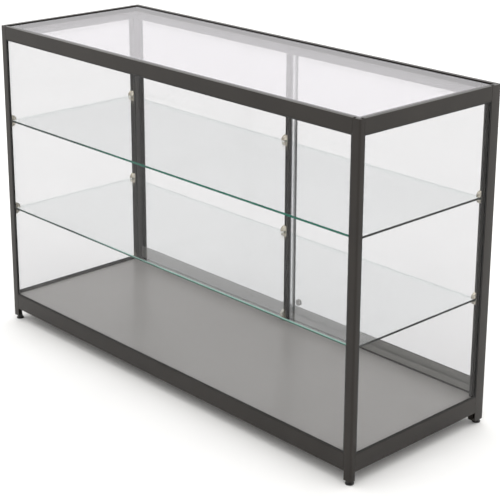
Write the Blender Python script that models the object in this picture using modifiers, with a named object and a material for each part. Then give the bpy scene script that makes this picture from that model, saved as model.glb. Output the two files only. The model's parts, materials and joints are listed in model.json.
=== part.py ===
"""Glass display showcase: an aluminium frame glazed on every side, two glass shelves on adjustable
clips, a laminate base board, and two sliding glass doors with a plunger lock at the back.

Metres, +Z up. X runs along the counter, -Y is the customer's side, +Y is the server's side.
The origin is on the floor under the middle of the case.
"""

import math

import bmesh
import bpy
from mathutils import Vector

# Driving dimensions -------------------------------------------------------------------------
WIDTH, DEPTH, HEIGHT = 1.400, 0.500, 0.900
HALF_W, HALF_D = WIDTH / 2, DEPTH / 2
GAP = 0.0003  # clearance between touching pieces
SHAVE = 0.0001  # how far a filler piece stands back from the faces that it lies flush with

TOP_RAIL_H, BOTTOM_RAIL_H, BOTTOM_RAIL_Z = 0.037, 0.046, 0.035
TOP_RAIL_Z = HEIGHT - TOP_RAIL_H
BOTTOM_RAIL_TOP = BOTTOM_RAIL_Z + BOTTOM_RAIL_H
RAIL_DEPTH, REAR_RAIL_DEPTH = 0.022, 0.030

POST_BOTTOM = 0.011
FRONT_POST = (0.0235, 0.0155)  # size along X and along Y
REAR_POST = (0.022, 0.034)
POST_LEG = 0.008
CORNER_RADIUS = 0.005
FRONT_SLOTS = (0.017, 0.0085)  # bottoms of a front post's glazing slots, along X and along Y
REAR_SLOT = 0.0235  # bottom of a rear post's glazing slot, from the back
JAMB = (0.0032, 0.0203)  # the doors' channel in a rear post, from the back

GLASS, THICK_GLASS = 0.005, 0.006
PANE_PLAY = 0.0005  # room past a pane's end in its slot
SLOT_NEAR, SLOT_FAR = 0.0015, 0.0071  # glazing slot, from the outer face inwards
GLASS_NEAR = SLOT_NEAR + GAP
SLOT_DEPTH_TOP, SLOT_DEPTH_BOTTOM = 0.010, 0.012
GLASS_LOW = BOTTOM_RAIL_TOP - SLOT_DEPTH_BOTTOM + 0.001
GLASS_HIGH = TOP_RAIL_Z + SLOT_DEPTH_TOP - 0.001

LIP = 0.012  # width of the frame's top face, outside the top glass
GLASS_TOP = HEIGHT - 0.0025  # the top glass lies a little below the frame's top face
TAPE_T = 0.0007
SEAT_Z = GLASS_TOP - THICK_GLASS - TAPE_T - 2 * GAP  # ledge that carries the top glass
BOARD_LEDGE = 0.0247  # height of the base board's ledge above the rail's underside
BOARD_Z, BOARD_T = BOTTOM_RAIL_Z + BOARD_LEDGE + GAP, 0.016
BOARD_TOP = BOARD_Z + BOARD_T
UPSTAND, REAR_UPSTAND = 0.0088, 0.021  # thickness of the bottom rails above the ledge

SHELF_HEIGHTS = {"lower": 0.349, "upper": 0.617}
STRIP_W, STRIP_T = 0.0078, 0.0045  # slotted channel that the shelf clips run in
STRIP_U = 0.0131  # its centre line, from the case's outer side face
STRIP_SUNK = 0.0002  # how far its back reaches into the post
STRIP_BACK = {-1: POST_LEG - STRIP_SUNK, 1: REAR_POST[1] - STRIP_SUNK}  # front and rear posts
STRIP_LOW, STRIP_HIGH = BOTTOM_RAIL_TOP + GAP, TOP_RAIL_Z - GAP
CHANNEL_MOUTH, CHANNEL_ROOM = 0.0018, 0.0031  # half widths of the T-slot
CHANNEL_LIP, CHANNEL_DEEP = 0.0011, 0.003
SHELF_FRONT_FACE = -HALF_D + STRIP_BACK[-1] + STRIP_T  # open faces of the channels, in Y
SHELF_BACK_FACE = HALF_D - STRIP_BACK[1] - STRIP_T
CLIP_REACH = 0.0024  # from the channel's face to the shelf's edge
SHELF_SIDE = 0.011
CLIP_W = 0.0094

UPRIGHT_BACK = 0.2260

INNER_DOOR_Y, OUTER_DOOR_Y = 0.2340, 0.2425  # middle of each sliding glass
DOOR_END, DOOR_LAP = 0.690, 0.0135
DOOR_LOW, DOOR_HIGH = 0.104, 0.872
DOOR_GROOVE_HALF, DOOR_GROOVE_DEEP = 0.0033, 0.014  # groove in the rear top rail
SHOE_W, SHOE_Z, SHOE_TOP = 0.0076, 0.0885, 0.116
ROLLER_R, ROLLER_GROOVE_R, ROLLER_W = 0.007, 0.0055, 0.0046
ROLLER_Z = 0.0931
ROLLERS = {"outer": 0.600, "inner": 0.080}  # distance from the middle of the case
AXLE_R = 0.001
TRACK_Z = BOTTOM_RAIL_TOP + GAP

LOCK_X, LOCK_Z = 0.027, 0.131
LOCK_BARREL_R, LOCK_FLANGE_R, LOCK_NUT_R = 0.0068, 0.0095, 0.009
PLUNGER_R, CORE_R = 0.004, 0.00245
PLUNGER_TIP, PLUNGER_HEAD = 0.2396, 0.2498

FOOT_R, STUD_R, STUD_HOLE_R = 0.011, 0.0024, 0.0027
STUD_TOP, FOOT_HOLE_PAST = 0.033, 0.004
FRONT_FOOT, REAR_FOOT = (0.014, 0.0119), (0.0125, 0.0115)  # inwards from the outer faces

CORNERS = {
    "front_left": (-1, -1),
    "front_right": (1, -1),
    "rear_left": (-1, 1),
    "rear_right": (1, 1),
}
ALONG_X = (math.pi / 2, 0, math.pi / 2)  # turns an outline's plane to face along X
ALONG_Y = (math.pi / 2, 0, 0)
ALONG_Z = (0, 0, 0)


# Scene and finishes -------------------------------------------------------------------------
for old in list(bpy.data.objects):
    bpy.data.objects.remove(old, do_unlink=True)

parts = bpy.data.collections.new("glass_display_showcase")
cutters = bpy.data.collections.new("cutters")
for collection in (parts, cutters):
    bpy.context.scene.collection.children.link(collection)


def finish(name, colour, roughness, metallic=0.0, transmission=0.0):
    made = bpy.data.materials.new(name)
    made.use_nodes = True
    shader = made.node_tree.nodes["Principled BSDF"]
    shader.inputs["Base Color"].default_value = (*colour, 1)
    shader.inputs["Roughness"].default_value = roughness
    shader.inputs["Metallic"].default_value = metallic
    shader.inputs["Transmission Weight"].default_value = transmission
    return made


CHARCOAL = finish("charcoal_powder_coat", (0.055, 0.052, 0.048), 0.42, 0.2)
RUNNER_GREY = finish("grey_runner_coat", (0.2, 0.19, 0.165), 0.4, 0.2)
BLACK_PLASTIC = finish("black_plastic", (0.012, 0.012, 0.012), 0.5)
RUBBER = finish("black_rubber", (0.01, 0.01, 0.01), 0.7)
CLEAR_GLASS = finish("clear_glass", (0.92, 0.97, 0.95), 0.02, 0.0, 1.0)
LAMINATE = finish("grey_laminate", (0.09, 0.09, 0.088), 0.35)
NICKEL = finish("satin_nickel", (0.72, 0.68, 0.6), 0.3, 1.0)
STEEL = finish("bright_steel", (0.6, 0.6, 0.6), 0.3, 1.0)
NYLON = finish("grey_nylon", (0.5, 0.5, 0.48), 0.45)
EDGE_PLASTIC = finish("grey_edge_plastic", (0.42, 0.44, 0.43), 0.35)


# Modelling helpers --------------------------------------------------------------------------
def add(name, mesh, look, location=(0, 0, 0), rotation=(0, 0, 0)):
    made = bpy.data.objects.new(name, mesh)
    made.location = location
    made.rotation_euler = rotation
    mesh.materials.clear()
    mesh.materials.append(look)
    parts.objects.link(made)
    return made


def as_tool(tool):
    """Moves an object to the cutters, out of the model."""
    parts.objects.unlink(tool)
    cutters.objects.link(tool)
    tool.hide_render = True
    tool.display_type = "WIRE"
    return tool


def boolean(target, tool, operation):
    change = target.modifiers.new(tool.name, "BOOLEAN")
    change.operation = operation
    change.solver = "EXACT"
    change.object = as_tool(tool)


def cut(target, tool):
    boolean(target, tool, "DIFFERENCE")


def join(target, tool):
    boolean(target, tool, "UNION")


def box(name, low, high, look):
    low, high = Vector(low), Vector(high)
    shape = bmesh.new()
    bmesh.ops.create_cube(shape, size=1)
    bmesh.ops.scale(shape, vec=high - low, verts=shape.verts)
    mesh = bpy.data.meshes.new(name)
    shape.to_mesh(mesh)
    shape.free()
    return add(name, mesh, look, (low + high) / 2)


def corner_box(name, corner, u, v, z, look):
    """A box given by distances inwards from a corner's outer faces."""
    side, end = CORNERS[corner]
    x = sorted(side * (HALF_W - distance) for distance in u)
    y = sorted(end * (HALF_D - distance) for distance in v)
    return box(name, (x[0], y[0], z[0]), (x[1], y[1], z[1]), look)


def cylinder(name, radius, start, stop, look, segments=32):
    start, stop = Vector(start), Vector(stop)
    shape = bmesh.new()
    bmesh.ops.create_cone(
        shape,
        cap_ends=True,
        segments=segments,
        radius1=radius,
        radius2=radius,
        depth=(stop - start).length,
    )
    mesh = bpy.data.meshes.new(name)
    shape.to_mesh(mesh)
    shape.free()
    mesh.shade_smooth()
    mesh.set_sharp_from_angle(angle=math.radians(40))
    made = add(name, mesh, look, (start + stop) / 2)
    made.rotation_euler = (stop - start).to_track_quat("Z", "Y").to_euler()
    return made


def rectangle(low, high):
    return [(low[0], low[1]), (high[0], low[1]), (high[0], high[1]), (low[0], high[1])]


def arc(centre, radius, start, stop, steps=6):
    """Points on a circle between two angles in degrees."""
    turns = [math.radians(start + (stop - start) * step / steps) for step in range(steps + 1)]
    return [(centre[0] + radius * math.cos(t), centre[1] + radius * math.sin(t)) for t in turns]


def extrusion(name, outline, length, look, location, rotation, holes=()):
    """A flat outline, with holes, drawn in its local XY plane and extruded evenly along Z."""
    curve = bpy.data.curves.new(name, "CURVE")
    curve.dimensions = "2D"
    curve.fill_mode = "BOTH"
    curve.extrude = length / 2
    for loop in (outline, *holes):
        spline = curve.splines.new("POLY")
        spline.points.add(len(loop) - 1)
        for point, place in zip(spline.points, loop):
            point.co = (*place, 0, 1)
        spline.use_cyclic_u = True
    guide = bpy.data.objects.new(name + "_outline", curve)
    parts.objects.link(guide)
    evaluated = guide.evaluated_get(bpy.context.evaluated_depsgraph_get())
    mesh = bpy.data.meshes.new_from_object(evaluated)
    bpy.data.objects.remove(guide)
    shape = bmesh.new()
    shape.from_mesh(mesh)
    bmesh.ops.remove_doubles(shape, verts=shape.verts, dist=1e-6)
    bmesh.ops.recalc_face_normals(shape, faces=shape.faces)
    shape.to_mesh(mesh)
    shape.free()
    return add(name, mesh, look, location, rotation)


def corner_outline(corner, points):
    """Turns distances inwards from a corner's outer faces into X and Y."""
    side, end = CORNERS[corner]
    return [(side * (HALF_W - u), end * (HALF_D - v)) for u, v in points]


def upright_bar(name, outline, low, high, look, holes=()):
    place = (0, 0, (low + high) / 2)
    return extrusion(name, outline, high - low, look, place, ALONG_Z, holes)


def rail_x(name, profile, end, half_length, base, look, holes=()):
    """A rail along X. The profile's first value runs inwards from the case's face at +Y or -Y."""

    def place(points):
        return [(end * (HALF_D - inwards), base + up) for inwards, up in points]

    length = 2 * half_length
    holes = [place(hole) for hole in holes]
    return extrusion(name, place(profile), length, look, (0, 0, 0), ALONG_X, holes)


def rail_y(name, profile, side, low, high, base, look, holes=()):
    """A rail along Y. The profile's first value runs inwards from the case's face at +X or -X."""

    def place(points):
        return [(side * (HALF_W - inwards), base + up) for inwards, up in points]

    middle = (0, (low + high) / 2, 0)
    holes = [place(hole) for hole in holes]
    return extrusion(name, place(profile), high - low, look, middle, ALONG_Y, holes)


def turned(name, profile, look, location, rotation, closed=False, steps=32):
    """A turned piece. The profile runs down its outer side, from top to bottom."""
    mesh = bpy.data.meshes.new(name)
    shape = bmesh.new()
    corners = [shape.verts.new((radius, 0, height)) for radius, height in profile]
    for first, second in zip(corners, corners[1:]):
        shape.edges.new((first, second))
    if closed:
        shape.edges.new((corners[-1], corners[0]))
    shape.to_mesh(mesh)
    shape.free()
    made = add(name, mesh, look, location, rotation)
    screw = made.modifiers.new("turn", "SCREW")
    screw.steps = screw.render_steps = steps
    screw.use_merge_vertices = True
    screw.merge_threshold = 0.00001
    screw.use_smooth_shade = True
    return made


# Frame --------------------------------------------------------------------------------------
# Hollows in the rails, for the prongs of the corner keys: each is its lower outer corner and its
# upper inner one, inwards from the case's face and up from the rail's underside.
TOP_HOLLOW = (0.0093, 0.0025), (0.0197, 0.0245)
BOTTOM_HOLLOW = (0.0105, 0.003), (0.020, 0.022)
REAR_TOP_HOLLOW = (0.003, 0.017), (0.0185, 0.0245)
REAR_BOTTOM_HOLLOW = (0.003, 0.004), (0.018, 0.042)
LIGHTENING_HOLLOW = (0.021, 0.003), (0.0285, 0.0245)  # beside the door grooves
PRONG_PLAY, KEY_PLAY = 0.0004, 0.001  # room round a prong, sideways and upwards
PRONG_REACH = 0.050

# A rear key: distances inwards from the case's side (u) and back (v), and heights.
KEY_U, KEY_V, KEY_TOP = (POST_LEG + GAP, 0.0167), (0.0035, 0.0165), 0.070
REAR_PRONG_U, SIDE_PRONG_V = (0.016, 0.042), (0.0155, 0.057)
BOTTOM_PRONG, TOP_PRONG = (0.041, 0.056), (0.881, 0.8865)
WINDOW_U = (0.0094, 0.018)  # window in a rear post for the side prong
LIP_V = 0.020
LIP_LOW = {"front": 0.885, "rear": 0.888}  # underside of the lips that close the top face
PAST = 0.001  # how far a cutter runs past what it cuts


def shelf_channel(post, corner):
    """The open T-slot in a post's inner side, which the shelf clips run in."""
    side, end = CORNERS[corner]
    x, back = side * (HALF_W - STRIP_U), end * (HALF_D - STRIP_BACK[end])
    section = channel_outline(STRIP_W / 2, STRIP_T)
    outline = [(x + across, back - end * depth) for across, depth in section]
    join(post, upright_bar("channel_" + corner, outline, STRIP_LOW, STRIP_HIGH, CHARCOAL))


def front_post(corner):
    """L-shaped corner extrusion with a glazing slot in the end of each leg."""
    along_x, along_y = FRONT_POST
    slot_x, slot_y = FRONT_SLOTS
    outline = [
        *arc((CORNER_RADIUS, CORNER_RADIUS), CORNER_RADIUS, 180, 270),
        (along_x, 0),
        (along_x, SLOT_NEAR),
        (slot_x, SLOT_NEAR),
        (slot_x, SLOT_FAR),
        (along_x, SLOT_FAR),
        (along_x, POST_LEG),
        (POST_LEG, POST_LEG),
        (POST_LEG, along_y),
        (SLOT_FAR, along_y),
        (SLOT_FAR, slot_y),
        (SLOT_NEAR, slot_y),
        (SLOT_NEAR, along_y),
        (0, along_y),
    ]
    shape = corner_outline(corner, outline)
    post = upright_bar("post_" + corner, shape, POST_BOTTOM, HEIGHT, CHARCOAL)
    shelf_channel(post, corner)


def rear_post(corner):
    """Corner extrusion with a jamb channel for the doors and a slot for the side glass."""
    along_x, along_y = REAR_POST
    jamb_near, jamb_far = JAMB
    outline = [
        *arc((CORNER_RADIUS, CORNER_RADIUS), CORNER_RADIUS, 180, 270),
        (along_x, 0),
        (along_x, jamb_near),
        (POST_LEG, jamb_near),
        (POST_LEG, jamb_far),
        (along_x, jamb_far),
        (along_x, along_y),
        (SLOT_FAR, along_y),
        (SLOT_FAR, REAR_SLOT),
        (SLOT_NEAR, REAR_SLOT),
        (SLOT_NEAR, along_y),
        (0, along_y),
    ]
    shape = corner_outline(corner, outline)
    post = upright_bar("post_" + corner, shape, POST_BOTTOM, HEIGHT, CHARCOAL)
    seat = (LIP, along_x + PAST), (LIP, along_y + PAST), (SEAT_Z, HEIGHT + PAST)
    cut(post, corner_box("seat_notch_" + corner, corner, *seat, CHARCOAL))
    for word, (low, high) in (("bottom", BOTTOM_PRONG), ("top", TOP_PRONG)):
        window = WINDOW_U, (jamb_far - PAST, along_y + PAST), (low - GAP, high + GAP)
        cut(post, corner_box(f"{word}_key_window_{corner}", corner, *window, CHARCOAL))
    shelf_channel(post, corner)


def top_rail_profile():
    """Slot for the glass below, ledge for the top glass above."""
    seat = SEAT_Z - TOP_RAIL_Z
    return [
        (0, 0),
        (SLOT_NEAR, 0),
        (SLOT_NEAR, SLOT_DEPTH_TOP),
        (SLOT_FAR, SLOT_DEPTH_TOP),
        (SLOT_FAR, 0),
        (RAIL_DEPTH, 0),
        (RAIL_DEPTH, seat),
        (LIP, seat),
        (LIP, TOP_RAIL_H),
        (0, TOP_RAIL_H),
    ]


def rear_top_rail_profile():
    """Two grooves below guide the tops of the sliding doors."""
    seat = SEAT_Z - TOP_RAIL_Z
    grooves = []
    for middle in (HALF_D - OUTER_DOOR_Y, HALF_D - INNER_DOOR_Y):
        near, far = middle - DOOR_GROOVE_HALF, middle + DOOR_GROOVE_HALF
        grooves += [(near, 0), (near, DOOR_GROOVE_DEEP), (far, DOOR_GROOVE_DEEP), (far, 0)]
    return [
        (0, 0),
        *grooves,
        (REAR_RAIL_DEPTH, 0),
        (REAR_RAIL_DEPTH, seat),
        (LIP, seat),
        (LIP, TOP_RAIL_H),
        (0, TOP_RAIL_H),
    ]


def bottom_rail_profile():
    """Glazing slot in the upstand, ledge for the base board behind it."""
    return [
        (0, 0),
        (RAIL_DEPTH, 0),
        (RAIL_DEPTH, BOARD_LEDGE),
        (UPSTAND, BOARD_LEDGE),
        (UPSTAND, BOTTOM_RAIL_H),
        (SLOT_FAR, BOTTOM_RAIL_H),
        (SLOT_FAR, BOTTOM_RAIL_H - SLOT_DEPTH_BOTTOM),
        (SLOT_NEAR, BOTTOM_RAIL_H - SLOT_DEPTH_BOTTOM),
        (SLOT_NEAR, BOTTOM_RAIL_H),
        (0, BOTTOM_RAIL_H),
    ]


def rear_bottom_rail_profile():
    """Wide top face for the door track, ledge for the base board in front of it."""
    return [
        (0, 0),
        (REAR_RAIL_DEPTH, 0),
        (REAR_RAIL_DEPTH, BOARD_LEDGE),
        (REAR_UPSTAND, BOARD_LEDGE),
        (REAR_UPSTAND, BOTTOM_RAIL_H),
        (0, BOTTOM_RAIL_H),
    ]


FRONT_RAIL_HALF = HALF_W - FRONT_POST[0] - GAP
REAR_RAIL_HALF = HALF_W - REAR_POST[0] - GAP
SIDE_RAIL_FRONT = -HALF_D + FRONT_POST[1] + GAP
SIDE_RAIL_REAR = HALF_D - REAR_POST[1] - GAP


def rails():
    span = (SIDE_RAIL_FRONT, SIDE_RAIL_REAR)
    kinds = {
        "top_rail_": (top_rail_profile(), TOP_RAIL_Z, [rectangle(*TOP_HOLLOW)]),
        "bottom_rail_": (bottom_rail_profile(), BOTTOM_RAIL_Z, [rectangle(*BOTTOM_HOLLOW)]),
    }
    for name, (profile, base, hollows) in kinds.items():
        rail_x(name + "front", profile, -1, FRONT_RAIL_HALF, base, CHARCOAL, hollows)
        for word, side in (("left", -1), ("right", 1)):
            rail_y(name + word, profile, side, *span, base, CHARCOAL, hollows)
    profile, base = rear_top_rail_profile(), TOP_RAIL_Z
    hollows = [rectangle(*REAR_TOP_HOLLOW), rectangle(*LIGHTENING_HOLLOW)]
    rail_x("top_rail_rear", profile, 1, REAR_RAIL_HALF, base, CHARCOAL, hollows)
    profile, base = rear_bottom_rail_profile(), BOTTOM_RAIL_Z
    hollows = [rectangle(*REAR_BOTTOM_HOLLOW)]
    rail_x("bottom_rail_rear", profile, 1, REAR_RAIL_HALF, base, CHARCOAL, hollows)


def front_key(name, corner, hollow, base, look):
    """A corner key whose two prongs plug into the hollows of the rails that meet there."""
    (near, low), (far, high) = hollow
    near, far = near + PRONG_PLAY, far - PRONG_PLAY
    low, high = base + low + KEY_PLAY, base + high - KEY_PLAY
    behind, reach = POST_LEG + GAP, PRONG_REACH
    edge_x, edge_y = (size - SHAVE for size in FRONT_POST)
    clear_x = RAIL_DEPTH + 2 * GAP
    outline = [
        (behind, behind),
        (edge_x, behind),
        (edge_x, near),
        (reach, near),
        (reach, far),
        (clear_x, far),
        (clear_x, edge_y),
        (far, edge_y),
        (far, reach),
        (near, reach),
        (near, edge_y),
        (behind, edge_y),
    ]
    return upright_bar(name + corner, corner_outline(corner, outline), low, high, look)


def foot_hole(corner, place):
    side, end = CORNERS[corner]
    x, y = side * (HALF_W - place[0]), end * (HALF_D - place[1])
    low, high = (x, y, POST_BOTTOM - FOOT_HOLE_PAST), (x, y, STUD_TOP + FOOT_HOLE_PAST)
    return cylinder("foot_hole_" + corner, STUD_HOLE_R, low, high, BLACK_PLASTIC, 20)


def front_bottom_key(corner):
    """Joins the bottom rails to a front post and holds the levelling foot's thread."""
    hollow, base = BOTTOM_HOLLOW, BOTTOM_RAIL_Z
    key = front_key("bottom_corner_key_", corner, hollow, base, BLACK_PLASTIC)
    near, low = POST_LEG + GAP, POST_BOTTOM + GAP
    past_x, past_y = LIP_V, FRONT_POST[1] - SHAVE
    socket = (near, past_x), (near, past_y), (low, BOTTOM_PRONG[0])
    join(key, corner_box("foot_socket_" + corner, corner, *socket, BLACK_PLASTIC))
    cut(key, foot_hole(corner, FRONT_FOOT))


def rear_key(name, corner, u_near, low, high, prong_z, side_prong_z, look):
    """One prong plugs into the rear rail, the other passes through the post to the side rail."""
    key = corner_box(name + corner, corner, KEY_U, KEY_V, (low, high), look)
    prongs = {
        "rear_prong_": (REAR_PRONG_U, KEY_V, prong_z),
        "side_prong_": ((u_near + PRONG_PLAY, KEY_U[1]), SIDE_PRONG_V, side_prong_z),
    }
    for word, sizes in prongs.items():
        join(key, corner_box(name + word + corner, corner, *sizes, look))
    return key


def rear_bottom_key(corner):
    name, near, low = "bottom_corner_key_", BOTTOM_HOLLOW[0][0], POST_BOTTOM + GAP
    prong = (BOTTOM_PRONG[0], KEY_TOP)
    heights = low, KEY_TOP, prong, BOTTOM_PRONG
    key = rear_key(name, corner, near, *heights, BLACK_PLASTIC)
    cut(key, foot_hole(corner, REAR_FOOT))


def close_top(key, corner, lips, low):
    """Adds the lips that close the corner of the frame's top face."""
    for number, (u, v) in enumerate(lips):
        name = f"top_lip_{number}_{corner}"
        join(key, corner_box(name, corner, u, v, (low, HEIGHT - GAP), CHARCOAL))


def front_top_key(corner):
    key = front_key("top_corner_key_", corner, TOP_HOLLOW, TOP_RAIL_Z, CHARCOAL)
    near, inner = POST_LEG + GAP, LIP - SHAVE
    edge_x, edge_y = (size - SHAVE for size in FRONT_POST)
    lips = ((near, edge_x), (near, inner)), ((near, inner), (near, edge_y))
    close_top(key, corner, lips, LIP_LOW["front"])


def rear_top_key(corner):
    name, near, high = "top_corner_key_", TOP_HOLLOW[0][0], SEAT_Z - GAP
    heights = TOP_PRONG[0], high, TOP_PRONG, TOP_PRONG
    key = rear_key(name, corner, near, *heights, CHARCOAL)
    start, inner, edge_x = KEY_U[0], LIP - SHAVE, REAR_POST[0] - SHAVE
    lips = ((start, edge_x), (KEY_V[0], inner)), ((start, inner), (KEY_V[0], LIP_V))
    close_top(key, corner, lips, LIP_LOW["rear"])


# Base, glazing and shelves ------------------------------------------------------------------
def base_board():
    side, front = HALF_W - UPSTAND - GAP, -HALF_D + UPSTAND + GAP
    rear, notch_x = HALF_D - REAR_UPSTAND - GAP, HALF_W - REAR_POST[0] - GAP
    notch_y = HALF_D - REAR_POST[1] - GAP
    half = [(side, front), (side, notch_y), (notch_x, notch_y), (notch_x, rear)]
    outline = half + [(-x, y) for x, y in reversed(half)]
    upright_bar("base_board", outline, BOARD_Z, BOARD_TOP, LAMINATE)


TAPE_NEAR, TAPE_W = LIP + 0.0008, 0.009


def panes():
    x, y = HALF_W - LIP - GAP, HALF_D - LIP - GAP
    box("top_glass", (-x, -y, GLASS_TOP - THICK_GLASS), (x, y, GLASS_TOP), CLEAR_GLASS)
    loops = []
    for inwards in (TAPE_NEAR, TAPE_NEAR + TAPE_W):
        x, y = HALF_W - inwards, HALF_D - inwards
        loops.append(rectangle((-x, -y), (x, y)))
    low = SEAT_Z + GAP
    upright_bar("top_glass_tape", loops[0], low, low + TAPE_T, RUBBER, [loops[1]])

    near, far = GLASS_NEAR, GLASS_NEAR + GLASS
    x = HALF_W - FRONT_SLOTS[0] - PANE_PLAY
    low, high = (-x, -HALF_D + near, GLASS_LOW), (x, -HALF_D + far, GLASS_HIGH)
    box("front_glass", low, high, CLEAR_GLASS)
    front, rear = -HALF_D + FRONT_SLOTS[1] + PANE_PLAY, HALF_D - REAR_SLOT - PANE_PLAY
    for word, side in (("left", -1), ("right", 1)):
        x = sorted(side * (HALF_W - inwards) for inwards in (near, far))
        box(word + "_glass", (x[0], front, GLASS_LOW), (x[1], rear, GLASS_HIGH), CLEAR_GLASS)


def glazing_gaskets():
    """Black beads that close the slots against the outer faces of the three fixed panes."""
    near, far, bead = 0.0006, 0.0015, 0.003
    low, high = BOTTOM_RAIL_TOP + GAP, TOP_RAIL_Z - GAP
    middle = (near + far) / 2
    spans = {
        "front": (-FRONT_RAIL_HALF, FRONT_RAIL_HALF, (0, -HALF_D + middle, 0), ALONG_Y),
        "left": (SIDE_RAIL_FRONT, SIDE_RAIL_REAR, (-HALF_W + middle, 0, 0), ALONG_X),
        "right": (SIDE_RAIL_FRONT, SIDE_RAIL_REAR, (HALF_W - middle, 0, 0), ALONG_X),
    }
    for word, (start, stop, place, turn) in spans.items():
        outer = rectangle((start, low), (stop, high))
        inner = rectangle((start + bead, low + bead), (stop - bead, high - bead))
        extrusion(word + "_glass_gasket", outer, far - near, RUBBER, place, turn, [inner])


def channel_outline(half_width, front):
    """A T-slot channel's section: half_width across, from its back at 0 to its open front."""
    mouth, room = CHANNEL_MOUTH, CHANNEL_ROOM
    lip, floor = front - CHANNEL_LIP, front - CHANNEL_DEEP
    half = [(half_width, 0), (half_width, front), (mouth, front), (mouth, lip)]
    half += [(room, lip), (room, floor)]
    return half + [(-across, depth) for across, depth in reversed(half)]


def centre_upright():
    """A free-standing bar between the board and the rear top rail, slotted like the posts."""
    section = channel_outline(STRIP_W / 2, UPRIGHT_BACK - SHELF_BACK_FACE)
    outline = [(across, UPRIGHT_BACK - out) for across, out in section]
    upright_bar("centre_upright", outline, BOARD_TOP + GAP, STRIP_HIGH, CHARCOAL)


CLIP_UP, CLIP_DOWN, JAW_UP, JAW_DOWN = 0.018, 0.015, 0.013, 0.011
CLIP_PLATE, JAW_TIP = 0.0018, 0.0012
CLIP_FOOT_H = 0.009  # half height of the foot in the channel
NECK = (-0.002, 0.001)  # from inside the foot to inside the plate, out of the channel's face


def jaw(reach, height, grip):
    """A jaw's rounded back, from its tip over the shelf to the end of the back plate."""
    tip = grip + JAW_TIP
    turns = [math.pi / 2 * step / 6 for step in range(7)]
    out = GAP + CLIP_PLATE
    return [(out + reach * math.cos(t), tip + (height - tip) * math.sin(t)) for t in turns]


def clip(name, x, face, inward, height):
    """Jaws that hold a shelf's edge, on a T-shaped foot that runs in a channel."""
    grip = THICK_GLASS / 2 + GAP
    plate = GAP + CLIP_PLATE
    upper = jaw(JAW_UP, CLIP_UP, grip)
    lower = [(out, -up) for out, up in jaw(JAW_DOWN, CLIP_DOWN, grip)]
    outline = [(GAP, CLIP_UP), (GAP, -CLIP_DOWN), *reversed(lower), (plate + JAW_DOWN, -grip)]
    outline += [(plate, -grip), (plate, grip), (plate + JAW_UP, grip), *upper]
    place = [(face + inward * out, height + up) for out, up in outline]
    body = extrusion(name, place, CLIP_W, NICKEL, (x, 0, 0), ALONG_X)
    foot = (GAP - CHANNEL_DEEP, -CHANNEL_LIP - GAP)
    sizes = {"_neck": (CHANNEL_MOUTH - GAP, NECK), "_foot": (CHANNEL_ROOM - GAP, foot)}
    for word, (half, span) in sizes.items():
        y = sorted(face + inward * out for out in span)
        low = (x - half, y[0], height - CLIP_FOOT_H)
        high = (x + half, y[1], height + CLIP_FOOT_H)
        join(body, box(name + word, low, high, NICKEL))
    return body


def shelves():
    side, near = HALF_W - SHELF_SIDE, HALF_W - STRIP_U
    front, rear = SHELF_FRONT_FACE + CLIP_REACH, SHELF_BACK_FACE - CLIP_REACH
    places = {
        "front_left": (-near, SHELF_FRONT_FACE, 1),
        "front_right": (near, SHELF_FRONT_FACE, 1),
        "rear_left": (-near, SHELF_BACK_FACE, -1),
        "rear_centre": (0, SHELF_BACK_FACE, -1),
        "rear_right": (near, SHELF_BACK_FACE, -1),
    }
    for level, height in SHELF_HEIGHTS.items():
        below, above = height - THICK_GLASS / 2, height + THICK_GLASS / 2
        box(f"{level}_shelf", (-side, front, below), (side, rear, above), CLEAR_GLASS)
        for word, (x, face, inward) in places.items():
            clip(f"{level}_shelf_clip_{word}", x, face, inward, height)


# Sliding doors ------------------------------------------------------------------------------
DOORS = {"left": (-1, INNER_DOOR_Y), "right": (1, OUTER_DOOR_Y)}


TRACK_Y, TRACK_WALL = (0.2288, 0.2477), 0.001
TRACK_FLOOR, RIB_TOP, RIB_HALF = TRACK_Z + 0.002, 0.0873, 0.0008
TRACK_FRONT_TOP, TRACK_REAR_TOP = 0.098, 0.092


def lower_track():
    """Floor with a rib under each door's rollers, between a front lip and a low rear lip."""
    (front, rear), wall, floor = TRACK_Y, TRACK_WALL, TRACK_FLOOR
    outline = [(front, TRACK_Z), (rear, TRACK_Z), (rear, TRACK_REAR_TOP)]
    outline += [(rear - wall, TRACK_REAR_TOP), (rear - wall, floor)]
    for middle in (OUTER_DOOR_Y, INNER_DOOR_Y):
        near, far = middle + RIB_HALF, middle - RIB_HALF
        outline += [(near, floor), (near, RIB_TOP), (far, RIB_TOP), (far, floor)]
    outline += [(front + wall, floor), (front + wall, TRACK_FRONT_TOP), (front, TRACK_FRONT_TOP)]
    extrusion("lower_door_track", outline, 2 * REAR_RAIL_HALF, RUNNER_GREY, (0, 0, 0), ALONG_X)


FINGER_SIZE = (0.011, 0.0028, 0.045)  # half sizes of the hollow ground for a fingertip
FINGER_IN, FINGER_Z = 0.060, 0.480


def finger_hollow(name, place):
    shape = bmesh.new()
    bmesh.ops.create_uvsphere(shape, u_segments=24, v_segments=12, radius=1)
    bmesh.ops.scale(shape, vec=Vector(FINGER_SIZE), verts=shape.verts)
    mesh = bpy.data.meshes.new(name)
    shape.to_mesh(mesh)
    shape.free()
    return add(name, mesh, CLEAR_GLASS, place)


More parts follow.
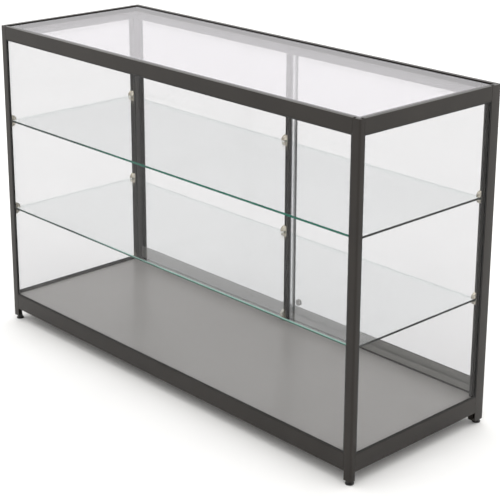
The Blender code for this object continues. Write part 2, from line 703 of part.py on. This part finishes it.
def door_glass(word, side, middle):
    ends = sorted((side * DOOR_END, -side * DOOR_LAP))
    low = (ends[0], middle - GLASS / 2, DOOR_LOW)
    high = (ends[1], middle + GLASS / 2, DOOR_HIGH)
    pane = box(f"{word}_door_glass", low, high, CLEAR_GLASS)
    place = (side * (DOOR_END - FINGER_IN), middle + GLASS / 2 + GAP, FINGER_Z)
    cut(pane, finger_hollow(f"{word}_finger_hollow", place))
    if word == "right":
        start, stop = (LOCK_X, middle - GLASS, LOCK_Z), (LOCK_X, middle + GLASS, LOCK_Z)
        cut(pane, cylinder("lock_hole", LOCK_BARREL_R + GAP, start, stop, CLEAR_GLASS, 40))


def door_shoe(word, side, middle):
    """H-section along the door's bottom edge: glass above, rollers below."""
    half, wall, web_low, web_high = SHOE_W / 2, 0.001, 0.101, DOOR_LOW - GAP
    inner = half - wall
    section = [(half, SHOE_Z), (half, SHOE_TOP), (inner, SHOE_TOP), (inner, web_high)]
    section += [(-inner, web_high), (-inner, SHOE_TOP), (-half, SHOE_TOP), (-half, SHOE_Z)]
    section += [(-inner, SHOE_Z), (-inner, web_low), (inner, web_low), (inner, SHOE_Z)]
    outline = [(middle + across, up) for across, up in section]
    length = DOOR_END + DOOR_LAP
    centre = side * (DOOR_END - DOOR_LAP) / 2
    shoe = extrusion(f"{word}_door_shoe", outline, length, RUNNER_GREY, (centre, 0, 0), ALONG_X)
    for place, spot in ROLLERS.items():
        start, stop = (side * spot, middle - SHOE_W, ROLLER_Z), (side * spot, middle + SHOE_W, ROLLER_Z)
        hole = cylinder(f"{word}_axle_hole_{place}", AXLE_R + GAP, start, stop, RUNNER_GREY, 16)
        cut(shoe, hole)


def rollers(word, side, middle):
    """Grooved wheels with stub axles that turn in the shoe. Each has its origin on its axle."""
    stub, half, groove, root = SHOE_W / 2, ROLLER_W / 2, 0.0013, 0.0009
    right = [(0, stub), (AXLE_R, stub), (AXLE_R, half), (ROLLER_R, half), (ROLLER_R, groove)]
    right += [(ROLLER_GROOVE_R, root)]
    profile = right + [(radius, -along) for radius, along in reversed(right)]
    for place, spot in ROLLERS.items():
        at = (side * spot, middle, ROLLER_Z)
        name = f"{word}_door_roller_{place}"
        turned(name, profile, NYLON, at, (math.pi / 2, 0, 0), steps=24)


TRIM_GRIP, TRIM_BACK = 0.0025, 0.003  # over the pane, and past the pane's edge
TRIM_PLAY = 0.001  # under the top rail
TRIM_WALLS = {"left": (0.0009, 0.0018), "right": (0.0006, 0.0009)}  # on the pane's front and rear


def edge_trim(word, side, front, rear):
    """Channel over the edge where the doors lap. The front door's is proud enough to stop a bolt."""
    front_wall, rear_wall = TRIM_WALLS[word]
    near, far = -side * (DOOR_LAP - TRIM_GRIP), -side * (DOOR_LAP + TRIM_BACK)
    bottom = -side * (DOOR_LAP + GAP)
    outline = [
        (near, front - front_wall),
        (far, front - front_wall),
        (far, rear + rear_wall),
        (near, rear + rear_wall),
        (near, rear),
        (bottom, rear),
        (bottom, front),
        (near, front),
    ]
    low, high = SHOE_TOP + GAP, TOP_RAIL_Z - TRIM_PLAY
    upright_bar(f"{word}_door_edge_trim", outline, low, high, EDGE_PLASTIC)


def doors():
    lower_track()
    for word, (side, middle) in DOORS.items():
        door_glass(word, side, middle)
        door_shoe(word, side, middle)
        rollers(word, side, middle)
        front, rear = middle - GLASS / 2 - GAP, middle + GLASS / 2 + GAP
        edge_trim(word, side, front, rear)


# Lock ---------------------------------------------------------------------------------------
LOCK_PLAY = 0.0002  # between the plunger and its bore
FLANGE_T, NUT_T, BREAK = 0.0015, 0.0007, 0.0006  # flange, nut and the flange's bevelled edge
CUP_DEEP, CUP_PLAY = 0.003, 0.0001  # the cup in the plunger's head, for the core
PLUNGER_BREAK, TIP_BREAK = 0.0004, 0.0005
KEY_SLOT_HALF, KEY_SLOT_DEEP = (0.0004, 0.0016), 0.0012


def lock():
    """Plunger lock through the rear door. Pushed in, its bolt meets the front door's edge trim."""
    front, rear = OUTER_DOOR_Y - GLASS / 2 - GAP, OUTER_DOOR_Y + GLASS / 2 + GAP
    bore, flange = PLUNGER_R + LOCK_PLAY, LOCK_FLANGE_R
    outer, inner = rear + FLANGE_T, front - NUT_T
    profile = [(bore, outer), (flange - BREAK, outer), (flange, outer - BREAK), (flange, rear)]
    profile += [(LOCK_BARREL_R, rear), (LOCK_BARREL_R, front), (LOCK_NUT_R, front)]
    profile += [(LOCK_NUT_R, inner), (bore, inner)]
    turn, place = (-math.pi / 2, 0, 0), (LOCK_X, 0, LOCK_Z)
    turned("lock_body", profile, NICKEL, place, turn, closed=True, steps=40)

    length, cup, radius = PLUNGER_HEAD - PLUNGER_TIP, CORE_R + CUP_PLAY, PLUNGER_R
    profile = [(0, length - CUP_DEEP), (cup, length - CUP_DEEP), (cup, length)]
    profile += [(radius - PLUNGER_BREAK, length), (radius, length - PLUNGER_BREAK)]
    profile += [(radius, TIP_BREAK), (radius - TIP_BREAK, 0), (0, 0)]
    turned("lock_plunger", profile, NICKEL, (LOCK_X, PLUNGER_TIP, LOCK_Z), turn)

    start = (LOCK_X, PLUNGER_HEAD - CUP_DEEP + GAP, LOCK_Z)
    core = cylinder("lock_core", CORE_R, start, (LOCK_X, PLUNGER_HEAD, LOCK_Z), STEEL, 24)
    half_x, half_z = KEY_SLOT_HALF
    low = (LOCK_X - half_x, PLUNGER_HEAD - KEY_SLOT_DEEP, LOCK_Z - half_z)
    high = (LOCK_X + half_x, PLUNGER_HEAD + PAST, LOCK_Z + half_z)
    cut(core, box("key_slot", low, high, STEEL))


# Levelling feet -----------------------------------------------------------------------------
def levelling_feet():
    """A flanged glide on a stud, screwed fully in. Its origin is on the floor, on its axis."""
    neck_r, neck_top, neck_low = 0.0075, 0.010, 0.0055
    slope, shoulder, rim, round_off = 0.0015, 0.004, 0.003, 0.0006
    profile = [(0, STUD_TOP), (STUD_R, STUD_TOP), (STUD_R, neck_top), (neck_r, neck_top)]
    profile += [(neck_r, neck_low), (FOOT_R - slope, shoulder), (FOOT_R, rim)]
    profile += [(FOOT_R, round_off), (FOOT_R - round_off, 0), (0, 0)]
    for corner, (side, end) in CORNERS.items():
        u, v = REAR_FOOT if end > 0 else FRONT_FOOT
        place = (side * (HALF_W - u), end * (HALF_D - v), 0)
        turned("levelling_foot_" + corner, profile, BLACK_PLASTIC, place, (0, 0, 0))


def build():
    for corner, (_, end) in CORNERS.items():
        if end > 0:
            rear_post(corner)
            rear_bottom_key(corner)
            rear_top_key(corner)
        else:
            front_post(corner)
            front_bottom_key(corner)
            front_top_key(corner)
    rails()
    base_board()
    panes()
    glazing_gaskets()
    centre_upright()
    shelves()
    doors()
    lock()
    levelling_feet()


build()
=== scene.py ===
"""The looks of the glass display showcase: softened metal edges, panes with polished green edges,
powder coat, laminate, rubber and nickel, in a plain white studio.

Metres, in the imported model's own frame: X along the counter, -Y the customer's side, +Z up.
"""

import json
import math

import bmesh
import bpy
from mathutils import Matrix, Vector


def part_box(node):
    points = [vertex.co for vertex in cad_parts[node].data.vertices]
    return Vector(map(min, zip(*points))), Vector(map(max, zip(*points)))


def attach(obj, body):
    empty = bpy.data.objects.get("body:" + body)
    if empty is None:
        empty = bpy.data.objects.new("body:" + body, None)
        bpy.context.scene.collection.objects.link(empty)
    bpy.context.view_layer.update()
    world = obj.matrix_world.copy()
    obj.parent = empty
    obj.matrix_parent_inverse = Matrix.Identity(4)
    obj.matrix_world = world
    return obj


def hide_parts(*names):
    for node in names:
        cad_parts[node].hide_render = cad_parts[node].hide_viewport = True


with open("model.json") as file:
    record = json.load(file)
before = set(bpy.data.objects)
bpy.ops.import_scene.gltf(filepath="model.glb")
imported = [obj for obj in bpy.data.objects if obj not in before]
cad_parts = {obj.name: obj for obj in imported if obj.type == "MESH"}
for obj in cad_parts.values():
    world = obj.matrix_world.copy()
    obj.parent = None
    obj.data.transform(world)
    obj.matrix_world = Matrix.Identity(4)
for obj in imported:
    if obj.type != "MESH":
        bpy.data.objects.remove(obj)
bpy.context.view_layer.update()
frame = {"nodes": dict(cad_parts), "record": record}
scene = bpy.context.scene


# Camera -------------------------------------------------------------------------------------
CAMERA_PLACE = (2.7444, -2.4806, 1.7072)
AZIMUTH, ELEVATION, ROLL = (math.radians(angle) for angle in (46.22, 16.93, 0.47))
LENS = 103.1
FAR = 100  # nothing beyond this is seen
SHIFT = (-0.04, -0.16)


def make_camera():
    """A long lens off the case's front right corner, a little above its top."""
    data = bpy.data.cameras.new("camera")
    data.lens = LENS
    data.shift_x, data.shift_y = SHIFT
    data.clip_end = FAR
    made = bpy.data.objects.new("camera", data)
    turn = Matrix.Rotation(AZIMUTH, 4, "Z")
    tilt = Matrix.Rotation(math.pi / 2 - ELEVATION, 4, "X")
    roll = Matrix.Rotation(ROLL, 4, "Z")
    made.matrix_world = Matrix.Translation(CAMERA_PLACE) @ turn @ tilt @ roll
    scene.collection.objects.link(made)
    scene.camera = made


# Shader helpers -----------------------------------------------------------------------------
RANGE_SOCKETS = ("From Min", "From Max", "To Min", "To Max")


class Shader:
    """A material's node tree, with short ways to add the nodes that the finishes share."""

    def __init__(self, name):
        self.material = bpy.data.materials.new(name)
        self.material.use_nodes = True
        self.tree = self.material.node_tree
        self.tree.nodes.clear()
        self.output = self.node("ShaderNodeOutputMaterial")
        self.place = self.node("ShaderNodeTexCoord").outputs["Object"]

    def node(self, kind, settings=None, **inputs):
        """A new node with these settings, its sockets fed by name."""
        made = self.tree.nodes.new(kind)
        for key, value in (settings or {}).items():
            setattr(made, key, value)
        for key, value in inputs.items():
            self.feed(made.inputs[key.replace("_", " ")], value)
        return made

    def feed(self, socket, value):
        """Links a socket to another one, or sets a plain value on it."""
        if isinstance(value, bpy.types.NodeSocket):
            self.tree.links.new(value, socket)
        else:
            socket.default_value = value

    def noise(self, scale, detail=3.0, roughness=0.5, stretch=(1, 1, 1)):
        """Noise with `scale` blobs to the metre, drawn out where stretch is small."""
        mapping = self.node("ShaderNodeMapping", Vector=self.place, Scale=stretch)
        source = mapping.outputs["Vector"]
        made = self.node(
            "ShaderNodeTexNoise", Vector=source, Scale=scale, Detail=detail, Roughness=roughness
        )
        return made.outputs["Fac"]

    def math(self, operation, first, second=0.5):
        """One sum; operations on a single number leave the second alone."""
        made = self.node("ShaderNodeMath", {"operation": operation})
        self.feed(made.inputs[0], first)
        self.feed(made.inputs[1], second)
        return made.outputs[0]

    def ranged(self, value, low, high, source=(0.3, 0.7)):
        """The value moved from the source's range, which is where noise mostly lies, to another."""
        made = self.node("ShaderNodeMapRange", Value=value)
        for key, number in zip(RANGE_SOCKETS, (*source, low, high)):
            made.inputs[key].default_value = number
        return made.outputs[0]

    def blend(self, factor, first, second):
        """A colour between two others, each a plain colour or a socket."""
        made = self.node("ShaderNodeMix", {"data_type": "RGBA"})
        self.feed(made.inputs["Factor"], factor)
        for key, colour in (("A", first), ("B", second)):
            socket = next(s for s in made.inputs if s.name == key and s.type == "RGBA")
            self.feed(socket, colour if isinstance(colour, bpy.types.NodeSocket) else (*colour, 1))
        return next(s for s in made.outputs if s.type == "RGBA")

    def bump(self, height, strength, distance):
        """A normal that makes the height show as relief."""
        made = self.node("ShaderNodeBump", Strength=strength, Distance=distance, Height=height)
        return made.outputs["Normal"]

    def principled(self, **inputs):
        """The everyday surface, with its sockets fed by name."""
        made = self.node("ShaderNodeBsdfPrincipled")
        for key, value in inputs.items():
            socket = made.inputs[key.replace("_", " ")]
            plain = isinstance(value, tuple) and len(value) == 3
            self.feed(socket, (*value, 1) if plain and socket.type == "RGBA" else value)
        return made.outputs[0]

    def mixed(self, factor, first, second):
        """A surface between two others."""
        made = self.node("ShaderNodeMixShader")
        self.feed(made.inputs[0], factor)
        self.feed(made.inputs[1], first)
        self.feed(made.inputs[2], second)
        return made.outputs[0]

    def mirror_share(self, steepness=5.0, least=0.015, most=1.0):
        """How much of a ray glass mirrors at one face: least head on, most at grazing."""
        facing = self.node("ShaderNodeLayerWeight", Blend=0.5).outputs["Facing"]
        grazing = self.math("POWER", facing, steepness)
        return self.ranged(grazing, least, most, (0.0, 1.0))

    def rim(self, inner):
        """1 outside the rectangle about the origin that has these half sizes, 0 inside it."""
        spread = self.node("ShaderNodeSeparateXYZ", Vector=self.place).outputs
        past = [
            self.math("GREATER_THAN", self.math("ABSOLUTE", spread[axis]), half)
            for axis, half in zip("XY", inner)
        ]
        return self.math("MAXIMUM", *past)

    def end_on(self):
        """1 on the faces that point along the case, 0 on those that point across it."""
        normal = self.node("ShaderNodeNewGeometry").outputs["True Normal"]
        along = self.node("ShaderNodeSeparateXYZ", Vector=normal).outputs["X"]
        return self.math("ABSOLUTE", along)

    def finish(self, surface):
        """Ends the tree with this surface and hands over the material."""
        self.tree.links.new(surface, self.output.inputs["Surface"])
        return self.material


# Finishes -----------------------------------------------------------------------------------
def powder_coat(name, dark, light):
    """Satin coat with a fine orange peel, faint clouds and a few rubbed patches."""
    s = Shader(name)
    clouds = s.noise(9, 4)
    peel = s.noise(900, 2)
    grit = s.noise(4200, 1)
    colour = s.blend(s.ranged(clouds, 0, 1), dark, light)
    rubbed = s.ranged(s.noise(22, 5, 0.6), 0.28, 0.38)
    height = s.math("ADD", peel, s.math("MULTIPLY", grit, 0.4))
    return s.finish(
        s.principled(
            Base_Color=colour,
            Roughness=rubbed,
            Specular_IOR_Level=0.06,
            Coat_Weight=0.5,
            Coat_Roughness=0.2,
            Normal=s.bump(height, 0.10, 0.0001),
        )
    )


def moulded_plastic(name, dark, light, roughness):
    """Plastic with the fine grain of a spark-eroded mould."""
    s = Shader(name)
    grain = s.noise(1500, 2)
    colour = s.blend(s.ranged(s.noise(60), 0, 1), dark, light)
    dull = s.ranged(s.noise(200), roughness - 0.06, roughness + 0.06)
    return s.finish(
        s.principled(Base_Color=colour, Roughness=dull, Normal=s.bump(grain, 0.2, 0.0001))
    )


def rubber():
    """Dull black extruded rubber."""
    s = Shader("gasket_rubber")
    colour = s.blend(s.ranged(s.noise(120), 0, 1), (0.008, 0.008, 0.008), (0.02, 0.02, 0.019))
    drawn = s.noise(700, 2, 0.5, (0.2, 0.2, 0.2))
    return s.finish(
        s.principled(Base_Color=colour, Roughness=0.72, Normal=s.bump(drawn, 0.25, 0.0002))
    )


def brushed_metal(name, dark, light, roughness, stretch):
    """Plated metal with hair-fine lines drawn out along the short values of stretch."""
    s = Shader(name)
    lines = s.noise(900, 3, 0.6, stretch)
    colour = s.blend(s.ranged(s.noise(90), 0, 1), dark, light)
    dull = s.ranged(lines, roughness - 0.06, roughness + 0.08)
    return s.finish(
        s.principled(
            Base_Color=colour, Metallic=1.0, Roughness=dull, Normal=s.bump(lines, 0.1, 0.0001)
        )
    )


def edge_plastic():
    """Pale extruded plastic, coloured darker on the faces that meet end on."""
    s = Shader("edge_plastic")
    end_on_darker = s.ranged(s.end_on(), 0.0, 1.0, (0.6, 0.8))
    pale = s.blend(s.ranged(s.noise(60), 0, 1), (0.66, 0.67, 0.67), (0.74, 0.75, 0.75))
    drawn = s.noise(500, 2, 0.5, (1, 1, 0.02))
    return s.finish(
        s.principled(
            Base_Color=s.blend(end_on_darker, pale, (0.10, 0.10, 0.10)),
            Roughness=s.ranged(s.noise(200), 0.3, 0.42),
            Normal=s.bump(drawn, 0.15, 0.0001),
        )
    )


def laminate():
    """Grey board facing: a fine pearl texture with slow drifts in tone."""
    s = Shader("board_laminate")
    drift = s.noise(5, 3)
    fleck = s.noise(650, 2)
    tone = s.math("ADD", s.math("MULTIPLY", drift, 0.75), s.math("MULTIPLY", fleck, 0.25))
    colour = s.blend(s.ranged(tone, 0, 1), (0.312, 0.299, 0.284), (0.336, 0.322, 0.307))
    dull = s.ranged(s.noise(40, 4), 0.275, 0.285)
    return s.finish(
        s.principled(
            Base_Color=colour,
            Roughness=dull,
            Specular_IOR_Level=0.33,
            Normal=s.bump(fleck, 0.008, 0.0001),
        )
    )


def pane(name, tint, mirrored=(1, 1, 1), painted_bed_inner=None, **share):
    """A face of clear glass. It shows what is behind it unbent, and mirrors more at grazing.

    Outside the given inner half sizes, a dark band is painted on the glass: painted shade that
    stands for the dark rail ledge under the rim and the shaded gap, as seen through the glass.
    """
    s = Shader(name)
    smear = s.noise(14, 4, 0.6)
    haze = s.ranged(smear, 0.0, 0.025, (0.45, 0.75))
    clear = s.node("ShaderNodeBsdfTransparent", Color=(*tint, 1)).outputs[0]
    if painted_bed_inner:
        # painted shade: a dark band on the glass's rim, for the dark rail ledge and gap beneath
        painted_bed_shade = s.node("ShaderNodeBsdfDiffuse", Color=(0.012, 0.012, 0.013, 1)).outputs[0]
        clear = s.mixed(s.rim(painted_bed_inner), clear, painted_bed_shade)
    shine = s.node("ShaderNodeBsdfGlossy", Color=(*mirrored, 1), Roughness=haze).outputs[0]
    return s.finish(s.mixed(s.mirror_share(**share), clear, shine))


def polished_edge(name, left, right, ends, under=None):
    """A pane's edge of green glass; its short ends are coloured darker, which is painted shade.

    The colour runs from left to right along the case, from a left end darkened as painted shade
    to a right end lightened as painted light, and the lower half can have its own, darker colour
    at the right, also painted shade. Seen from inside the glass the edge mirrors everything, so
    it nearly vanishes.
    """
    s = Shader(name)
    along = s.node("ShaderNodeSeparateXYZ", Vector=s.place).outputs["X"]
    wander = s.ranged(s.noise(7, 3, 0.6, (1, 1, 0.2)), -0.15, 0.15)
    # painted light and shade: the colour brightens from the left end to the right end
    run = s.ranged(s.math("ADD", along, wander), 0.0, 1.0, (-0.6, 0.0))
    # painted shade: the lower half can take its own, darker colour at the right
    if under:
        whole = s.node("ShaderNodeTexCoord").outputs["Generated"]
        height = s.node("ShaderNodeSeparateXYZ", Vector=whole).outputs["Z"]
        right = s.blend(s.ranged(height, 0.0, 1.0, (0.50, 0.60)), under, right)
    # painted shade: the faces at the short ends take their own, darker colour
    colour = s.blend(s.end_on(), s.blend(run, left, right), ends)
    body = s.node("ShaderNodeBsdfDiffuse", Color=colour).outputs[0]
    clear = s.node("ShaderNodeBsdfTransparent", Color=(0.86, 0.90, 0.89, 1)).outputs[0]
    turned_back = s.ranged(s.node("ShaderNodeFresnel", IOR=2.0).outputs[0], 0.0, 1.0, (0.3, 0.9))
    shine = s.node("ShaderNodeBsdfGlossy", Color=(1, 1, 1, 1), Roughness=0.08).outputs[0]
    share = s.mirror_share(least=0.008)
    return s.finish(s.mixed(share, s.mixed(turned_back, body, clear), shine))


PAINTED_BED_WIDTH = 0.013  # width of the dark band painted along the rim of the top glass: painted shade for the dark rail ledge and gap seen through it


def make_looks():
    """Every finish, under its record's slot name or the name of the edge that wears it."""
    # The shelf edges' dark left end and near-black short ends are painted shade; the lighter right
    # end is painted light.
    edge_left_painted_shade, edge_ends_painted_shade = (0.006, 0.030, 0.022), (0.011, 0.012, 0.010)
    top_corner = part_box("top_glass")[1]
    return {
        "frame_powder_coat": powder_coat(
            "powder_coat", (0.0125, 0.0096, 0.0072), (0.0175, 0.0136, 0.0104)
        ),
        "runner_coat": powder_coat("runner_coat", (0.255, 0.250, 0.232), (0.290, 0.284, 0.264)),
        "black_plastic": moulded_plastic(
            "black_plastic", (0.007, 0.007, 0.007), (0.014, 0.014, 0.013), 0.42
        ),
        "gasket_rubber": rubber(),
        "top_glass": pane(
            "top_glass",
            (0.940, 0.936, 0.945),
            (0.930, 0.916, 0.945),
            # painted shade: the top glass's dark rim band
            painted_bed_inner=[reach - PAINTED_BED_WIDTH for reach in top_corner[:2]],
            steepness=1.0,
            most=0.56,
        ),
        "clear_glass": pane("clear_glass", (0.897, 0.897, 0.902)),
        "shelf_glass": pane("shelf_glass", (0.990, 0.998, 0.997), steepness=3.7),
        "board_laminate": laminate(),
        "satin_nickel": brushed_metal(
            "satin_nickel", (0.40, 0.365, 0.29), (0.70, 0.65, 0.54), 0.22, (1, 1, 0.08)
        ),
        "lock_steel": brushed_metal(
            "lock_steel", (0.42, 0.42, 0.41), (0.58, 0.58, 0.56), 0.24, (0.1, 1, 1)
        ),
        "roller_nylon": moulded_plastic(
            "roller_nylon", (0.42, 0.42, 0.40), (0.52, 0.52, 0.50), 0.45
        ),
        "edge_plastic": edge_plastic(),
        "upper_shelf_edge": polished_edge(
            "upper_shelf_edge", edge_left_painted_shade, (0.003, 0.165, 0.105), edge_ends_painted_shade
        ),
        # painted light: the lower shelf edge's pale aqua right end; painted shade: its darker lower
        # half there
        "lower_shelf_edge": polished_edge(
            "lower_shelf_edge", edge_left_painted_shade, (0.42, 0.72, 0.62), edge_ends_painted_shade, (0.05, 0.15, 0.11)
        ),
        # painted shade: the darker short ends of the pane edges
        "pane_edge": polished_edge(
            "pane_edge", (0.08, 0.20, 0.17), (0.08, 0.20, 0.17), (0.05, 0.12, 0.10)
        ),
    }


# Pieces -------------------------------------------------------------------------------------
BODY_OF = {
    node: body
    for body, members in frame["record"]["behaviour"]["bodies"].items()
    for node in members
}
SLOT_OF = {part["node"]: part["material_slot"] for part in frame["record"]["subparts"]}
SHARP = math.radians(34)  # edges that turn by less are part of a round surface
FLAT = math.radians(1)  # faces that turn by less are one flat face
SEWN = 2e-6  # points nearer than this are one point


def clean_copy(node):
    """The CAD node's shape as a sewn mesh with its flat faces made whole."""
    shape = bmesh.new()
    shape.from_mesh(frame["nodes"][node].data)
    bmesh.ops.remove_doubles(shape, verts=shape.verts, dist=SEWN)
    bmesh.ops.dissolve_limit(shape, angle_limit=FLAT, verts=shape.verts, edges=shape.edges)
    return shape


def add_piece(name, shape, looks, body):
    """Puts the shape in the scene, where it rides on a body."""
    mesh = bpy.data.meshes.new(name)
    shape.to_mesh(mesh)
    shape.free()
    for look in looks:
        mesh.materials.append(look)
    piece = bpy.data.objects.new(name, mesh)
    scene.collection.objects.link(piece)
    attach(piece, body)
    mesh.shade_smooth()
    mesh.set_sharp_from_angle(angle=SHARP)
    return piece


def stand_in(node, shape, looks):
    """Puts the shape in the scene in place of its CAD node."""
    piece = add_piece(node + "_finished", shape, looks, BODY_OF[node])
    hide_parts(node)
    return piece


def soften(piece, width, segments=2):
    """Rounds the arrises, so that they catch the light as real ones do."""
    edge = piece.modifiers.new("soft_edges", "BEVEL")
    edge.width = width
    edge.segments = segments
    edge.limit_method = "ANGLE"
    edge.angle_limit = SHARP
    edge.harden_normals = True
    edge.use_clamp_overlap = True


METAL_EDGE, SMALL_EDGE, GLASS_EDGE = 0.0005, 0.0002, 0.0004  # widths of the soft arrises
GLASS_SLOTS = ("top_glass", "clear_glass", "shelf_glass")
SMALL_SLOTS = ("gasket_rubber", "satin_nickel", "lock_steel", "roller_nylon")
EDGE_TURN = 0.2  # a pane's face points at least this much along its thin way


def metal_and_plastic(looks):
    """Every piece that isn't glass, with its arrises softened."""
    for node, slot in SLOT_OF.items():
        if slot in GLASS_SLOTS:
            continue
        piece = stand_in(node, clean_copy(node), [looks[slot]])
        soften(piece, SMALL_EDGE if slot in SMALL_SLOTS else METAL_EDGE)


def panes(looks):
    """The glass: clear faces and polished green edges."""
    for node, slot in SLOT_OF.items():
        if slot not in GLASS_SLOTS:
            continue
        shape = clean_copy(node)
        low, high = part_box(node)
        size = high - low
        thin = min(range(3), key=lambda axis: size[axis])
        for face in shape.faces:
            face.material_index = 0 if abs(face.normal[thin]) > EDGE_TURN else 1
        edge = node + "_edge" if slot == "shelf_glass" else "pane_edge"
        piece = stand_in(node, shape, [looks[slot], looks[edge]])
        soften(piece, GLASS_EDGE)


SPARE_LIFT = 0.0006  # the spare clip's height over the base board


def spare_clip(looks):
    """A clip like those of the shelves, parked at the foot of the centre upright's slot."""
    like = "lower_shelf_clip_rear_centre"
    shape = clean_copy(like)
    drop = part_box(like)[0][2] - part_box("base_board")[1][2] - SPARE_LIFT
    bmesh.ops.translate(shape, vec=(0, 0, -drop), verts=shape.verts)
    slot = SLOT_OF[like]
    piece = add_piece("spare_shelf_clip", shape, [looks[slot]], BODY_OF["centre_upright"])
    soften(piece, SMALL_EDGE)


# Studio -------------------------------------------------------------------------------------
FLOOR_HALF = 30  # half the floor's side


def make_floor():
    """A wide pale floor."""
    shape = bmesh.new()
    bmesh.ops.create_grid(shape, x_segments=1, y_segments=1, size=FLOOR_HALF)
    mesh = bpy.data.meshes.new("floor")
    shape.to_mesh(mesh)
    shape.free()
    s = Shader("studio_floor")
    colour = s.blend(s.ranged(s.noise(3), 0, 1), (0.89, 0.887, 0.880), (0.91, 0.907, 0.900))
    mesh.materials.append(s.finish(s.principled(Base_Color=colour, Roughness=0.9)))
    floor = bpy.data.objects.new("floor", mesh)
    scene.collection.objects.link(floor)


class Sky:
    """The world's node tree."""

    def __init__(self):
        world = bpy.data.worlds.new("studio")
        world.use_nodes = True
        scene.world = world
        self.tree = world.node_tree
        self.tree.nodes.clear()

    def node(self, kind, operation=None):
        """A new node, set to an operation where it has one."""
        made = self.tree.nodes.new(kind)
        if operation:
            made.operation = operation
        return made

    def ramp(self, value, source, target):
        """The value moved smoothly from one range to another."""
        made = self.node("ShaderNodeMapRange")
        made.interpolation_type = "SMOOTHSTEP"
        for key, number in zip(RANGE_SOCKETS, (*source, *target)):
            made.inputs[key].default_value = number
        self.tree.links.new(value, made.inputs["Value"])
        return made.outputs[0]


FRONT_TO_BACK = (0.68, 1.0)  # strength of the light from in front of the case and from behind it
DEPTHWAYS = (-0.7, 0.9)  # from where to where that strength changes
OVERHEAD = 1.06  # what is added straight overhead
UPWARDS = (0.3, 0.95)  # from where to where it is added


def make_surround():
    """White light from all round: strongest overhead, weakest from in front of the case."""
    sky = Sky()
    links = sky.tree.links
    where = sky.node("ShaderNodeTexCoord").outputs["Generated"]
    along = sky.node("ShaderNodeVectorMath", "DOT_PRODUCT")
    along.inputs[1].default_value = (-math.sin(AZIMUTH), math.cos(AZIMUTH), 0)
    links.new(where, along.inputs[0])
    upwards = sky.node("ShaderNodeSeparateXYZ")
    links.new(where, upwards.inputs[0])
    total = sky.node("ShaderNodeMath", "ADD")
    links.new(sky.ramp(along.outputs["Value"], DEPTHWAYS, FRONT_TO_BACK), total.inputs[0])
    links.new(sky.ramp(upwards.outputs["Z"], UPWARDS, (0.0, OVERHEAD)), total.inputs[1])
    light = sky.node("ShaderNodeBackground")
    light.inputs["Color"].default_value = (1.0, 0.995, 0.985, 1)
    links.new(total.outputs[0], light.inputs["Strength"])
    plain = sky.node("ShaderNodeBackground")
    seen = sky.node("ShaderNodeLightPath").outputs["Is Camera Ray"]
    either = sky.node("ShaderNodeMixShader")
    for socket, source in zip(either.inputs, (seen, light.outputs[0], plain.outputs[0])):
        links.new(source, socket)
    links.new(either.outputs[0], sky.node("ShaderNodeOutputWorld").inputs["Surface"])


CLEAR_FACES = 32  # how many faces of glass can lie behind each other


def make_scene():
    """The whole scene: the case in its finishes, the floor and the light."""
    scene.view_settings.view_transform = "Standard"
    scene.cycles.transparent_max_bounces = CLEAR_FACES
    make_camera()
    looks = make_looks()
    metal_and_plastic(looks)
    panes(looks)
    spare_clip(looks)
    make_floor()
    make_surround()


make_scene()
